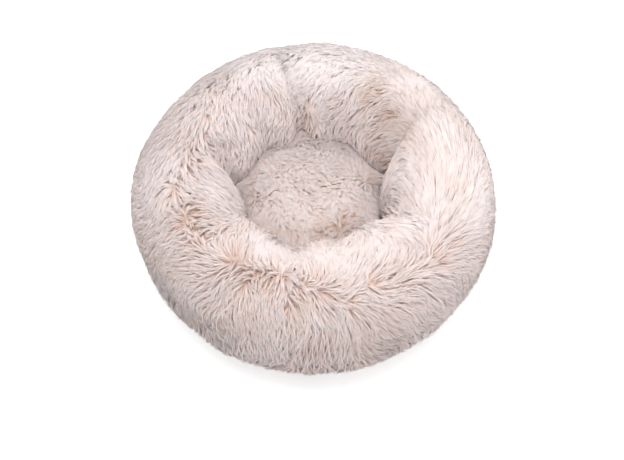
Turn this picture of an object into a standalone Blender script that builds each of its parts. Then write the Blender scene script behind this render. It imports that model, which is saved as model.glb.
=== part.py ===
"""Round plush bed for a dog: a gathered ring bolster round a crowned cushion that lifts out.

The ring is built up as the real one is, from the inside out: a fibre ring, the liner bag round it and the
plush cover over both. A woven base with a bound seam and a hidden zip at the back closes it below.
"""

import math

import bmesh
import bpy
from mathutils import Matrix, Vector

# Ring bolster, over its laid pile, in metres
bed_width = 0.600
bed_height = 0.220
bolster_width = 0.185
belly_height = 0.101
pile_depth = 0.022
liner_thickness = 0.0012
liner_slit = 0.0030
layer_gap = 0.0006
touch_gap = 0.0003

# Gathers of the ring: place as a share of the circle, lean to the crest and spread in degrees, depth share
gather_depth = 0.027
gather_shares = (
    (2 / 54, 20, 7.5, 1.00),
    (9 / 54, 5, 9.0, 0.25),
    (15 / 54, 2, 7.5, 0.80),
    (20 / 54, -4, 9.0, 0.20),
    (26 / 54, -6, 9.0, 0.85),
    (32 / 54, 5, 9.0, 0.25),
    (38 / 54, 2, 8.5, 0.70),
    (44 / 54, -4, 9.0, 0.20),
    (50 / 54, -7, 8.0, 0.80),
)
gather_foot_share = 0.35

# How far the well lies off the middle, and towards which azimuth, since the ring is filled fuller in front
well_shift = 0.0155
well_shift_azimuth = 105

# Side of the ring that sags flatter
flat_side_depth = 0.014
flat_side_azimuth = -135

# Woven base, wadding and floor of the well
fabric_thickness = 0.0020
pad_thickness = 0.0220
floor_margin = 0.0030

# Binding of the bottom seam
binding_width = 0.0090
binding_height = 0.0116
binding_lift = 0.0006
binding_bevel_share = 0.28

# Cushion
cushion_clearance = 0.0015
cushion_crown_height = 0.128
cushion_seam_height = 0.066
cushion_pile_depth = 0.020
cushion_pinch = 0.0030
cushion_pinch_reach = 0.0080
cushion_press_share = 0.70
crown_fullness = 2.5
belly_fullness = 3.2

# Hidden zip in the rear seam, on a slope between the binding and the raised edge of the cover
zip_slope = math.radians(46)
zip_start = math.radians(20)
zip_end = math.radians(160)
zip_tape_width = 0.0135
zip_tape_thickness = 0.0008
zip_coil_width = 0.0019
zip_coil_height = 0.0024
zip_slot = 0.0010
zip_standoff = 0.0015
zip_stop_length = 0.0040

# Slider of the zip
slider_length = 0.0120
slider_tail_width = 0.0080
slider_nose_width = 0.0100
slider_plate = 0.0011
slider_web = 0.0004
slider_clearance = 0.0004
slider_rest_gap = 0.0020
# Sections from tail to nose: place along the length and width, as shares
slider_outline_shares = ((-0.50, 0.86), (-0.42, 1.0), (0.10, 1.0), (0.40, 1.0), (0.50, 0.84))

# Bridge on the slider and the pull that hangs from it
bridge_length = 0.0084
bridge_width = 0.0020
bridge_thickness = 0.0009
bridge_opening = 0.0022
bridge_chamfer = 0.0006
joining_overlap = 0.0003
pull_length = 0.0170
pull_width = 0.0062
pull_thickness = 0.0010
pull_window_width = 0.0034
pull_window_length = 0.0056
pull_corner = 0.0022
cutter_overrun = 0.0020

# Mesh counts
columns = 54
cover_spans = (2, 3, 4, 2)
layer_spans = 7
dome_rows = 7
lining_rows = 4
zip_steps = 56
edge_row_share = 0.05

# Radii and heights that follow from the sizes above
half_width = bolster_width / 2
ring_radius = bed_width / 2 - half_width
mouth_radius = ring_radius - half_width
liner_inset = pile_depth + layer_gap
filling_inset = liner_inset + liner_thickness + layer_gap
liner_underside = fabric_thickness + touch_gap
filling_underside = liner_underside + liner_thickness + touch_gap
pad_bottom = fabric_thickness + touch_gap
floor_bottom = pad_bottom + pad_thickness + touch_gap
floor_top = floor_bottom + fabric_thickness
well_edge = floor_top + touch_gap
cover_edge = binding_lift + binding_height + touch_gap
zip_band = 2 * (touch_gap + zip_tape_width + touch_gap + zip_coil_width) + zip_slot
zip_edge = cover_edge + zip_band * math.sin(zip_slope) + touch_gap
column_angle = math.tau / columns


def make_material(name, colour, roughness, metallic=0.0):
    """Principled material with one colour."""
    material = bpy.data.materials.new(name)
    material.use_nodes = True
    shader = material.node_tree.nodes["Principled BSDF"]
    shader.inputs["Base Color"].default_value = (*colour, 1)
    shader.inputs["Roughness"].default_value = roughness
    shader.inputs["Metallic"].default_value = metallic
    return material


def finish_mesh(name, maker, material):
    """Turns a bmesh into an object whose faces point out."""
    bmesh.ops.recalc_face_normals(maker, faces=maker.faces)
    mesh = bpy.data.meshes.new(name)
    maker.to_mesh(mesh)
    maker.free()
    mesh.materials.append(material)
    mesh.shade_smooth()
    mesh.set_sharp_from_angle(angle=math.radians(50))
    made = bpy.data.objects.new(name, mesh)
    bpy.context.scene.collection.objects.link(made)
    return made


def polar(radius, azimuth, height):
    """Point at a radius, an azimuth and a height."""
    return Vector((radius * math.cos(azimuth), radius * math.sin(azimuth), height))


def join_loops(maker, first, second):
    """Band of faces between two closed loops of one length."""
    for here in range(len(first)):
        there = (here + 1) % len(first)
        maker.faces.new((first[here], first[there], second[there], second[here]))


def join_layers(maker, first, second, outer_count):
    """Band of triangles whose diagonals lean alike on the outer and inner face of a layer."""
    for here in range(len(first)):
        there = (here + 1) % len(first)
        near, far = (here, there) if here < outer_count else (there, here)
        maker.faces.new((first[near], first[far], second[far]))
        maker.faces.new((first[near], second[far], second[near]))


def loft(name, loops, material):
    """Solid through closed sections, with a cap at each end."""
    maker = bmesh.new()
    rows = [[maker.verts.new(point) for point in loop] for loop in loops]
    for first, second in zip(rows, rows[1:]):
        join_loops(maker, first, second)
    maker.faces.new(rows[0])
    maker.faces.new(rows[-1])
    return finish_mesh(name, maker, material)


def ring(name, outer_face, inner_face, material):
    """Solid that goes full circle, through the points of its outer face and back through its inner face."""
    maker = bmesh.new()
    rows = []
    for column in range(columns):
        azimuth = column_angle * column
        outer, inner = outer_face(azimuth), inner_face(azimuth)
        rows.append([maker.verts.new(point) for point in outer + inner[::-1]])
    for first, second in zip(rows, rows[1:] + rows[:1]):
        join_layers(maker, first, second, len(outer))
    return finish_mesh(name, maker, material)


def turned(name, first_pole, section, last_pole, material, shift=0, swell=None):
    """Solid turned about an upright axis where its section starts and ends; swell widens it by azimuth."""
    centre = polar(shift, math.radians(well_shift_azimuth), 0)
    maker = bmesh.new()
    rows = []
    for radius, height in section:
        row = []
        for column in range(columns):
            azimuth = column_angle * column
            wider = swell(azimuth) * radius if swell else 0
            row.append(maker.verts.new(centre + polar(radius + wider, azimuth, height)))
        rows.append(row)
    for first, second in zip(rows, rows[1:]):
        join_loops(maker, first, second)
    for height, row in ((first_pole, rows[0]), (last_pole, rows[-1])):
        pole = maker.verts.new((centre.x, centre.y, height))
        for column in range(columns):
            maker.faces.new((pole, row[column], row[(column + 1) % columns]))
    return finish_mesh(name, maker, material)


def smooth_step(value):
    """Rises smoothly from 0 to 1."""
    value = min(max(value, 0), 1)
    return value * value * (3 - 2 * value)


def degrees_between(azimuth, centre):
    """Signed angle in degrees from a centre, given as a share of the circle, to an azimuth."""
    return (math.degrees(azimuth) - 360 * centre + 180) % 360 - 180


def gather_weight(turn):
    """Strength of a gather round the section: none outside, full over the well, weaker at its foot."""
    degrees = math.degrees(turn)
    fade = smooth_step((degrees - 180) / 45)
    return smooth_step((degrees - 25) / 120) * (1 - (1 - gather_foot_share) * fade)


def gathered(azimuth):
    """Depth of the gathers at an azimuth of the well, as a share of the full depth."""
    total = 0
    for centre, _, spread, share in gather_shares:
        total += share * math.exp(-0.5 * (degrees_between(azimuth, centre) / spread) ** 2)
    return min(total, 1)


def leaning(azimuth, turn):
    """Azimuth that a gather's line reaches as it leans over between the well and the outer side."""
    lean = max(math.sin(turn), 0)
    slant = 0
    for centre, tilt, spread, _ in gather_shares:
        slant += tilt * math.exp(-0.5 * (degrees_between(azimuth, centre) / (2.5 * spread)) ** 2)
    return azimuth + math.radians(slant) * lean


def flattened(azimuth, turn):
    """Share by which the slack side of the ring sags flatter on its outside."""
    towards = (1 + math.cos(azimuth - math.radians(flat_side_azimuth))) / 2
    outside = smooth_step((math.degrees(turn) + 30) / 30) * smooth_step((100 - math.degrees(turn)) / 60)
    return math.sin(2 * azimuth) ** 2 * towards ** 2 * outside


def ring_point(azimuth, turn, inset, underside):
    """Point of one layer of the ring; turn runs from its outer side over the crest to the well."""
    drawn = inset + gather_depth * gathered(azimuth) * gather_weight(turn)
    azimuth = leaning(azimuth, turn)
    drawn += flat_side_depth * flattened(azimuth, turn)
    reach = half_width
    if math.cos(turn) < 0:
        reach -= well_shift * math.cos(azimuth - math.radians(well_shift_azimuth))
    radius = ring_radius + (reach - drawn) * math.cos(turn)
    rise = bed_height - belly_height - drawn if math.sin(turn) > 0 else belly_height - underside
    return polar(radius, azimuth, belly_height + rise * math.sin(turn))


def foot_turn(height, underside):
    """How far below its belly, as an angle, a layer passes a height."""
    return math.asin((belly_height - height) / (belly_height - underside))


def foot_radius(height, inset, underside, side):
    """Radius of a layer at a height below its belly, on its outer side or, with side -1, in the well."""
    return ring_radius + side * (half_width - inset) * math.cos(foot_turn(height, underside))


def evenly(start, end, spans):
    """Values from a start up to, but not at, an end."""
    return [start + (end - start) * span / spans for span in range(spans)]


def layer_turns():
    """Turns of the inner layers' points: underside, the cover's two edge heights, even spans, underside."""
    low = -foot_turn(cover_edge, liner_underside)
    high = -foot_turn(zip_edge, liner_underside)
    end = math.pi + foot_turn(well_edge, liner_underside)
    return [-math.pi / 2, low] + evenly(high, end, layer_spans) + [end, 3 * math.pi / 2]


def over_zip(azimuth):
    """Whether the zip lies under this part of the cover."""
    return zip_start - column_angle < azimuth < zip_end + column_angle


def cover_outer(azimuth):
    """Outer face of the plush cover, with points at its belly, its crest and the mouth of the well."""
    low, high = -foot_turn(cover_edge, 0), -foot_turn(zip_edge, 0)
    corners = (high, 0, math.pi / 2, math.pi, math.pi + foot_turn(well_edge, 0))
    turns = [low]
    for start, end, spans in zip(corners, corners[1:], cover_spans):
        turns += evenly(start, end, spans)
    turns.append(corners[-1])
    if over_zip(azimuth):
        turns[0], turns[1] = turns[1], turns[1] + edge_row_share * (turns[2] - turns[1])
    return [ring_point(azimuth, turn, 0, 0) for turn in turns]


def cover_inner(azimuth):
    """Inner face of the plush cover, point by point over the liner, which it clears at the zip."""
    turns = layer_turns()[1:-1]
    insets = [pile_depth] * len(turns)
    if over_zip(azimuth):
        turns[0], turns[1] = turns[1], turns[1] + edge_row_share * (turns[2] - turns[1])
        insets[:2] = [pile_depth - zip_standoff] * 2
    return [ring_point(azimuth, turn, inset, liner_underside) for turn, inset in zip(turns, insets)]


def bag_face(azimuth, inset, underside):
    """Face of the liner, a bag with a slit underneath where the fibre goes in."""
    points = [ring_point(azimuth, turn, inset, underside) for turn in layer_turns()]
    for lip, beside in ((0, 1), (-1, -2)):
        edge = points[beside] - points[lip]
        points[lip] = points[lip] + edge.normalized() * liner_slit / 2
    return points


def liner_outer(azimuth):
    """Outer face of the liner."""
    return bag_face(azimuth, liner_inset, liner_underside)


def liner_inner(azimuth):
    """Inner face of the liner."""
    return bag_face(azimuth, liner_inset + liner_thickness, liner_underside + liner_thickness)


def filling_face(azimuth):
    """Surface of the fibre ring, the whole way round."""
    return [ring_point(azimuth, turn, filling_inset, filling_underside) for turn in layer_turns()[:-1]]


def nothing(azimuth):
    """Inner face of a solid ring."""
    return []


def binding_section(azimuth):
    """Rounded section of the tape that binds the bottom seam."""
    bevel = binding_bevel_share * binding_width
    low, high = binding_lift, binding_lift + binding_height
    inner, outer = seam_radius - binding_width / 2, seam_radius + binding_width / 2
    corners = (
        (inner + bevel, low),
        (outer - bevel, low),
        (outer, low + bevel),
        (outer, high - bevel),
        (outer - bevel, high),
        (inner + bevel, high),
        (inner, high - bevel),
        (inner, low + bevel),
    )
    return [polar(radius, azimuth, height) for radius, height in corners]


def dome(radius, rise, fullness, rows):
    """Radii and heights of a full, flattened dome from its rim to near its pole."""
    points = []
    for row in range(rows):
        angle = math.pi / 2 * row / rows
        across = radius * math.cos(angle) ** (2 / fullness)
        up = rise * math.sin(angle) ** (2 / fullness)
        pinch = cushion_pinch * math.exp(-up / cushion_pinch_reach)
        points.append((across - pinch, up))
    return points


def pressed(azimuth):
    """Share by which the cushion swells into the gathers of the ring."""
    facing = polar(well_shift, math.radians(well_shift_azimuth), 0) + polar(mouth_radius, azimuth, 0)
    return cushion_press_share * gather_depth * gathered(math.atan2(facing.y, facing.x)) / mouth_radius


def zip_point(azimuth, along, out):
    """Point on the zip's slope: along it from the binding up, and out from its middle surface."""
    radius = zip_foot_radius + along * math.cos(zip_slope) + out * math.sin(zip_slope)
    return polar(radius, azimuth, cover_edge + along * math.sin(zip_slope) - out * math.cos(zip_slope))


def zip_strip(name, start, end, low, high, thickness, material):
    """Strip of the zip between two azimuths and two places along the slope."""
    steps = max(1, round(zip_steps * (end - start) / (zip_end - zip_start)))
    half = thickness / 2
    loops = []
    for step in range(steps + 1):
        azimuth = start + (end - start) * step / steps
        corners = ((low, -half), (high, -half), (high, half), (low, half))
        loops.append([zip_point(azimuth, along, out) for along, out in corners])
    return loft(name, loops, material)


def coil_row(name, low, high, material):
    """Row of teeth, rounded at its back and its face, as a coil of wire is."""
    start, end = zip_start + zip_stop_angle, zip_end - zip_stop_angle
    half, edge = zip_coil_height / 2, zip_coil_height / 4
    bevel = (high - low) / 4
    corners = (
        (low + bevel, -half),
        (high - bevel, -half),
        (high, -edge),
        (high, edge),
        (high - bevel, half),
        (low + bevel, half),
        (low, edge),
        (low, -edge),
    )
    loops = []
    for step in range(zip_steps + 1):
        azimuth = start + (end - start) * step / zip_steps
        loops.append([zip_point(azimuth, along, out) for along, out in corners])
    return loft(name, loops, material)


def slider_section(place, width):
    """Section of the slider: two plates on a thin web, with lips that close round the coils."""
    edge = width / 2
    coil = zip_slot / 2 + zip_coil_width + slider_clearance
    web = slider_web / 2
    lip = zip_tape_thickness / 2 + slider_clearance
    quarter = ((edge, slider_face), (edge, lip), (coil, lip), (coil, slider_channel), (web, slider_channel))
    right = list(quarter) + [(across, -out) for across, out in quarter[::-1]]
    left = [(-across, -out) for across, out in right]
    return [Vector((place, across, out)) for across, out in right + left]


def extruded(name, outline, depth, material):
    """Solid from an outline in its own plane, to half the depth on both sides of it."""
    loops = []
    for side in (-depth / 2, depth / 2):
        loops.append([point + Vector((0, 0, side)) for point in outline])
    return loft(name, loops, material)


def combine(target, tool, operation):
    """Joins or cuts an object with a guide object that is not a piece of its own."""
    tool.hide_render = True
    tool.display_type = "WIRE"
    boolean = target.modifiers.new(operation.lower(), "BOOLEAN")
    boolean.operation = operation
    boolean.solver = "EXACT"
    boolean.object = tool


def axis_empty(name, matrix, parent=None):
    """Empty that stands on a joint's axis and carries what moves on it."""
    empty = bpy.data.objects.new(name, None)
    empty.empty_display_size = slider_length
    bpy.context.scene.collection.objects.link(empty)
    empty.parent = parent
    empty.matrix_local = matrix
    return empty


# Sizes that need the functions above
cover_edge_radii = foot_radius(cover_edge, 0, 0, 1), foot_radius(cover_edge, pile_depth, liner_underside, 1)
seam_radius = sum(cover_edge_radii) / 2
zip_foot_radius = seam_radius + binding_width / 4
zip_stop_angle = (zip_stop_length + touch_gap) / zip_foot_radius
slider_channel = zip_coil_height / 2 + slider_clearance
slider_face = slider_channel + slider_plate


def build_base(fabric, wadding, tape):
    """Woven underside, its bound seam, the wadding and the floor of the well."""
    sheet_radius = seam_radius - binding_width / 2 - touch_gap
    rim = [(sheet_radius, 0), (sheet_radius, fabric_thickness)]
    turned("base_sheet", 0, rim, fabric_thickness, fabric)
    ring("base_binding", binding_section, nothing, tape)
    floor_radius = foot_radius(floor_top, liner_inset, liner_underside, -1) - floor_margin
    floor_shift = well_shift * math.cos(foot_turn(floor_top, liner_underside))
    for name, low, thickness, material in (
        ("base_pad", pad_bottom, pad_thickness, wadding),
        ("well_floor", floor_bottom, fabric_thickness, fabric),
    ):
        rim = [(floor_radius, low), (floor_radius, low + thickness)]
        turned(name, low, rim, low + thickness, material, floor_shift)


def build_bolster(plush, lining, fibre):
    """The three layers of the ring."""
    ring("bolster_cover", cover_outer, cover_inner, plush)
    ring("bolster_liner", liner_outer, liner_inner, lining)
    ring("bolster_filling", filling_face, nothing, fibre)


def build_cushion(plush, fabric, fibre):
    """Crowned cushion: plush above its seam, woven below it, with a fibre core."""
    radius = mouth_radius - cushion_clearance
    bottom = floor_top + touch_gap
    seam = cushion_seam_height
    rise = cushion_crown_height - seam
    drop = seam - bottom
    above, below = seam + touch_gap / 2, seam - touch_gap / 2
    pile = cushion_pile_depth

    crown = dome(radius, rise - touch_gap / 2, crown_fullness, dome_rows)
    hollow = dome(radius - pile, rise - pile, crown_fullness, lining_rows)
    outer = [(across, above + up) for across, up in crown]
    inner = [(across, above + up) for across, up in hollow]
    top = above + rise - touch_gap / 2
    turned("cushion_cover_top", top, outer[::-1] + inner, above + rise - pile, plush, well_shift, pressed)

    lining = fabric_thickness
    belly = dome(radius, drop - touch_gap / 2, belly_fullness, dome_rows)
    hollow = dome(radius - lining, drop - lining, belly_fullness, dome_rows)
    outer = [(across, below - up) for across, up in belly]
    inner = [(across, below - up) for across, up in hollow]
    inside = below - drop + lining
    turned("cushion_cover_bottom", bottom, outer[::-1] + inner, inside, fabric, well_shift, pressed)

    gap = layer_gap
    crown = dome(radius - pile - gap, rise - pile - gap, crown_fullness, lining_rows)
    belly = dome(radius - lining - gap, drop - lining - gap, belly_fullness, dome_rows)
    section = [(across, below - up) for across, up in belly[::-1]]
    section += [(across, below + up) for across, up in crown]
    top = below + rise - pile - gap
    turned("cushion_filling", below - drop + lining + gap, section, top, fibre, well_shift, pressed)


def build_zip(tape, coil, metal):
    """Tapes, rows of teeth and end stops of the zip."""
    low_tape = touch_gap
    low_coil = low_tape + zip_tape_width + touch_gap
    high_coil = low_coil + zip_coil_width + zip_slot
    high_tape = high_coil + zip_coil_width + touch_gap
    for name, low in (("zip_tape_lower", low_tape), ("zip_tape_upper", high_tape)):
        zip_strip(name, zip_start, zip_end, low, low + zip_tape_width, zip_tape_thickness, tape)
    for name, low in (("zip_coil_lower", low_coil), ("zip_coil_upper", high_coil)):
        coil_row(name, low, low + zip_coil_width, coil)
    stop = zip_stop_length / zip_foot_radius
    both = high_coil + zip_coil_width
    zip_strip("zip_bottom_stop", zip_end - stop, zip_end, low_coil, both, zip_coil_height, metal)
    for name, low in (("zip_top_stop_lower", low_coil), ("zip_top_stop_upper", high_coil)):
        zip_strip(name, zip_start, zip_start + stop, low, low + zip_coil_width, zip_coil_height, metal)


def build_slider(metal):
    """Slider on the coils, which turns with the seam about the bed's upright axis, and its hanging pull."""
    rest = zip_start + zip_stop_angle + (slider_rest_gap + slider_length / 2) / zip_foot_radius
    travel_axis = axis_empty("zip_travel_axis", Matrix.Identity(4))
    backward = Vector((math.sin(rest), -math.cos(rest), 0))
    across = zip_point(rest, -1, 0) - zip_point(rest, 0, 0)
    outward = zip_point(rest, 0, 1) - zip_point(rest, 0, 0)
    seat = Matrix((backward, across, outward)).transposed().to_4x4()
    seat.translation = zip_point(rest, zip_band / 2, 0)

    loops = []
    for place, share in slider_outline_shares:
        blend = smooth_step(place + 0.5)
        width = slider_tail_width + (slider_nose_width - slider_tail_width) * blend
        loops.append(slider_section(place * slider_length, share * width))
    slider = loft("zip_slider", loops, metal)
    slider.parent = travel_axis
    slider.matrix_local = seat

    leg = bridge_length / 2
    foot = slider_face - joining_overlap
    top = slider_face + bridge_opening + bridge_thickness
    half = ((leg, foot), (leg, top - bridge_chamfer), (leg - bridge_chamfer, top))
    inner = ((leg - bridge_thickness, slider_face + bridge_opening), (leg - bridge_thickness, foot))
    outline = [Vector((along, up, 0)) for along, up in half]
    outline += [Vector((-along, up, 0)) for along, up in half[::-1]]
    outline += [Vector((-along, up, 0)) for along, up in inner[::-1]]
    outline += [Vector((along, up, 0)) for along, up in inner]
    arch = extruded("slider_bridge", outline, bridge_width, metal)
    arch.parent = slider
    arch.matrix_local = Matrix.Rotation(math.pi / 2, 4, "X")
    combine(slider, arch, "UNION")

    hinge = axis_empty("zip_pull_axis", Matrix.Translation((0, 0, slider_face + bridge_opening / 2)), slider)
    edge = pull_width / 2
    tip, top = pull_length, -pull_thickness / 2
    half = [(edge, top), (edge, tip - pull_corner)]
    for step in range(1, 5):
        angle = math.pi / 2 * step / 4
        half.append((edge - pull_corner * (1 - math.cos(angle)), tip - pull_corner * (1 - math.sin(angle))))
    outline = [Vector((side, out, 0)) for side, out in half]
    outline += [Vector((-side, out, 0)) for side, out in half[::-1]]
    pull = extruded("zip_pull", outline, pull_thickness, metal)
    window_top = pull_thickness / 2
    window = [
        Vector((side * pull_window_width / 2, out, 0))
        for side, out in (
            (1, window_top),
            (1, window_top + pull_window_length),
            (-1, window_top + pull_window_length),
            (-1, window_top),
        )
    ]
    cutter = extruded("pull_window", window, pull_thickness + cutter_overrun, metal)
    upright = Matrix(((0, 0, 1), (1, 0, 0), (0, 1, 0))).to_4x4()
    pull.parent = hinge
    pull.matrix_local = upright
    cutter.parent = pull
    combine(pull, cutter, "DIFFERENCE")


def main():
    """Clears the scene and builds the bed."""
    for old in list(bpy.data.objects):
        bpy.data.objects.remove(old)
    plush = make_material("plush", (0.80, 0.69, 0.64), 0.95)
    lining = make_material("lining", (0.86, 0.85, 0.83), 0.9)
    fibre = make_material("fibre", (0.93, 0.93, 0.92), 1.0)
    fabric = make_material("base_fabric", (0.47, 0.42, 0.39), 0.85)
    tape = make_material("zip_tape", (0.62, 0.54, 0.50), 0.8)
    coil = make_material("zip_coil", (0.66, 0.58, 0.54), 0.45)
    metal = make_material("slider_metal", (0.66, 0.65, 0.63), 0.35, metallic=1.0)
    build_base(fabric, fibre, tape)
    build_bolster(plush, lining, fibre)
    build_cushion(plush, fabric, fibre)
    build_zip(tape, coil, metal)
    build_slider(metal)
    bpy.context.view_layer.update()


main()
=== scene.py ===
"""Looks of a round plush dog bed: long pile in locks over a gathered ring and a loose cushion."""

import math

import bpy
import numpy as np
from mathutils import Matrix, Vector


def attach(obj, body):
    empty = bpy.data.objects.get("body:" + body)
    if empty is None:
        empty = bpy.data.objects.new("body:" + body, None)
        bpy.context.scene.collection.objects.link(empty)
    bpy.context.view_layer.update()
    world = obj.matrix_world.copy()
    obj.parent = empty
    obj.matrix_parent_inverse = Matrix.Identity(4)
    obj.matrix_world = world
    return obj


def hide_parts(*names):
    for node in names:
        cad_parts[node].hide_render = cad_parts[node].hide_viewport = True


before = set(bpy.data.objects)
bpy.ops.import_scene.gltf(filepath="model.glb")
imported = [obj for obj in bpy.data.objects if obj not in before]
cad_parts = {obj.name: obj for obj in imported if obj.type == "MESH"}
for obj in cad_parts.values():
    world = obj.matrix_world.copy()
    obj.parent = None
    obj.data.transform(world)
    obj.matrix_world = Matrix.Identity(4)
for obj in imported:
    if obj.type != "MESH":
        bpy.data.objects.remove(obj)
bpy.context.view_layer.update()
rng = np.random.default_rng(20)

# The ring's shape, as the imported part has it, in metres
bed_width = 0.600
bed_height = 0.220
bolster_width = 0.185
belly_height = 0.101
gather_depth = 0.027
gather_foot_share = 0.35
deepest_share = 1.15
# Azimuth as a share of the round, lean in degrees, spread in degrees before and after the fold, and share
# of the depth
gathers = (
    (2 / 54, 20, 3.2, 8.0, 1.15), (9 / 54, 5, 7.0, 7.0, 0.25), (15 / 54, 2, 5.5, 3.6, 0.95),
    (20 / 54, -4, 7.0, 7.0, 0.2), (26 / 54, -6, 6.0, 5.0, 0.85), (32 / 54, 5, 7.0, 7.0, 0.25),
    (38 / 54, 2, 7.5, 7.5, 0.55), (44 / 54, -4, 8.0, 8.0, 0.2), (50 / 54, -7, 7.0, 7.0, 0.65),
)
well_shift = 0.0155
well_shift_azimuth = 105
flat_side_depth = 0.014
flat_side_azimuth = -135
half_width = bolster_width / 2
ring_radius = bed_width / 2 - half_width
mouth_radius = ring_radius - half_width
cover_edge = 0.0125
zip_edge = 0.036538
well_edge = 0.0269
# Azimuths in degrees where the pile and the cover begin to rise over the zip, and where they have risen
pile_rise_start, cover_rise_start, zip_rise_end = 11, 13.4, 20

# The cushion's shape
cushion_radius = 0.1135
cushion_seam = 0.066
cushion_rise = 0.062
cushion_fullness = 3.0
cushion_press_share = 0.70

# Backings of the pile: how far their faces lie inside the drawn shape
skin_inset, skin_back_inset = 0.0090, 0.0216
cushion_skin_inset, cushion_skin_back_inset = 0.0085, 0.019

# Pile of the ring: spacing of its locks round the ring and along its section, and the strands in each
lock_across, lock_apart, lock_strands = 0.0052, 0.0094, 17
lock_spread, lock_depth, shag_pull = 0.0026, 0.0060, 0.0006
lowest_lock, highest_lock, highest_tip = -59, 0.036, 0.030
standing_reach, laid_reach, hanging_reach, shag_reach = 0.011, 0.019, 0.008, 0.004
standing_height, laid_drop, least_height, most_proud = 0.0098, 0.0014, 0.004, 0.004
wave_height, scatter_height, bunch_height, shag_bunch_height = 0.0006, 0.0005, 0.0010, 0.0024
root_depth, stray_height, halo_heights = 0.0012, 0.0030, (0.0005, 0.0045)
core_widths, fine_widths = (0.0008, 0.0011), (0.0004, 0.00065)
# Bunches of locks round the ring, on its outer side
bunch_count = 205

# Pile of the cushion
cushion_lock_spacing, cushion_lock_strands = 0.0042, 13
cushion_reaches = (0.012, 0.018)
cushion_core_widths, cushion_fine_widths = (0.0006, 0.0008), (0.00035, 0.00055)
cushion_height, cushion_height_scatter, cushion_heights = 0.0088, 0.0006, (0.006, 0.011)
cushion_root_depth, cushion_fall, seam_overlaps = 0.001, 0.010, (-0.009, 0.001)

# How far strands take their shading from the pile as a whole
pile_evenness, calm_evenness, cushion_evenness = 0.94, 0.98, 0.92
# How far up its colours a strand starts, in brushed zones and on the cushion, which leaves out part of its
# painted root shade
calm_pale_from, cushion_pale_from = 0.55, 0.12
# Tone of a strand: 0 tan, then pale, 1 white
pale_tone = 0.7
ring_middle_tone, cushion_middle_tone = 0.66, 0.62
# Colours of a strand: place along it from root to tip, then red, green and blue as 8-bit display values;
# the darker, warmer roots are painted shade of the deep pile
white_strand = ((0.0, 250, 219, 206), (0.35, 253, 231, 225), (0.8, 249, 237, 235), (1.0, 250, 240, 240))
pale_strand = ((0.0, 242, 205, 190), (0.35, 250, 225, 216), (0.75, 249, 235, 232), (1.0, 250, 239, 238))
tan_strand = ((0.0, 182, 136, 115), (0.4, 214, 180, 163), (0.8, 238, 217, 208), (1.0, 246, 233, 228))
# Width of a strand: places along it, and shares of its full width
strand_places, strand_width_shares = (0, 0.3, 0.6, 1), (0.9, 1.0, 0.9, 0.35)
# Places of strands on the texture map
map_margin, least_map_tone, most_map_tone, map_sliver = 0.03, 0.01, 0.985, 0.004


# Shapes
def smooth_step(value):
    value = np.clip(value, 0, 1)
    return value * value * (3 - 2 * value)


def risen(angle, start, end):
    """Smooth step of an angle, given in radians, from 0 at one number of degrees to 1 at another."""
    return smooth_step((np.degrees(angle) - start) / (end - start))


def over_zip(azimuth, start, end):
    """1 over the zip at the back and 0 elsewhere, with a smooth step at either side."""
    degrees = np.degrees(azimuth) % 360
    width = end - start
    return smooth_step((degrees - start) / width) * smooth_step((180 - degrees - start) / width)


def polar(radius, azimuth, height):
    """Points at a radius and an azimuth round the upright axis, and at a height."""
    return np.stack(np.broadcast_arrays(radius * np.cos(azimuth), radius * np.sin(azimuth), height), -1)


def well_centre(shift):
    """Point that lies off the bed's middle towards the back, as the well does."""
    return polar(shift, math.radians(well_shift_azimuth), 0.0)


def degrees_between(azimuth, centre):
    return (np.degrees(azimuth) - 360 * centre + 180) % 360 - 180


def gather_weight(turn):
    return risen(turn, 25, 145) * (1 - (1 - gather_foot_share) * risen(turn, 180, 225))


def gathered(azimuth):
    total = np.zeros_like(azimuth)
    for centre, _, before, after, share in gathers:
        apart = degrees_between(azimuth, centre)
        total += share * np.exp(-0.5 * (apart / np.where(apart < 0, before, after)) ** 2)
    return np.minimum(total, deepest_share)


def leaning(azimuth, turn):
    slant = np.zeros_like(azimuth)
    for centre, tilt, before, after, _ in gathers:
        slant += tilt * np.exp(-0.5 * (degrees_between(azimuth, centre) / (1.7 * (before + after))) ** 2)
    return azimuth + np.radians(slant) * np.maximum(np.sin(turn), 0)


def flattened(azimuth, turn):
    towards = (1 + np.cos(azimuth - math.radians(flat_side_azimuth))) / 2
    return np.sin(2 * azimuth) ** 2 * towards**2 * risen(turn, -30, 0) * risen(turn, 100, 40)


def hang(azimuth):
    """How far the lowest pile hangs clear of the seam: more at the back, over the zip."""
    return 0.33 + 0.52 * over_zip(azimuth, pile_rise_start, zip_rise_end)


def ring_point(azimuth, turn, inset, underside=0.0, hanging=None):
    """Points of the ring; turn runs from its outer side over the crest to the well.

    Hanging is the share by which pile below the belly hangs straight down instead of following the ring in.
    """
    drawn = inset + gather_depth * gathered(azimuth) * gather_weight(turn)
    azimuth = leaning(azimuth, turn)
    drawn = drawn + flat_side_depth * flattened(azimuth, turn)
    inner = well_shift * np.cos(azimuth - math.radians(well_shift_azimuth)) * (np.cos(turn) < 0)
    radius = ring_radius + (half_width - inner - drawn) * np.cos(turn)
    if hanging is not None:
        free = np.maximum(turn, math.radians(-34))
        clear = ring_radius + (half_width - drawn) * np.cos(free)
        radius = radius + (clear - radius) * hanging
    rise = np.where(np.sin(turn) > 0, bed_height - belly_height - drawn, belly_height - underside)
    return polar(radius, azimuth, belly_height + rise * np.sin(turn))


def ring_metric(turn):
    """Metres along the section, and round the ring, for one radian."""
    rise = np.where(np.sin(turn) > 0, bed_height - belly_height, belly_height)
    along = np.hypot(half_width * np.sin(turn), rise * np.cos(turn))
    return along, ring_radius + half_width * np.cos(turn)


def foot_turn(height, underside=0.0):
    return math.asin((belly_height - height) / (belly_height - underside))


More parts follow.
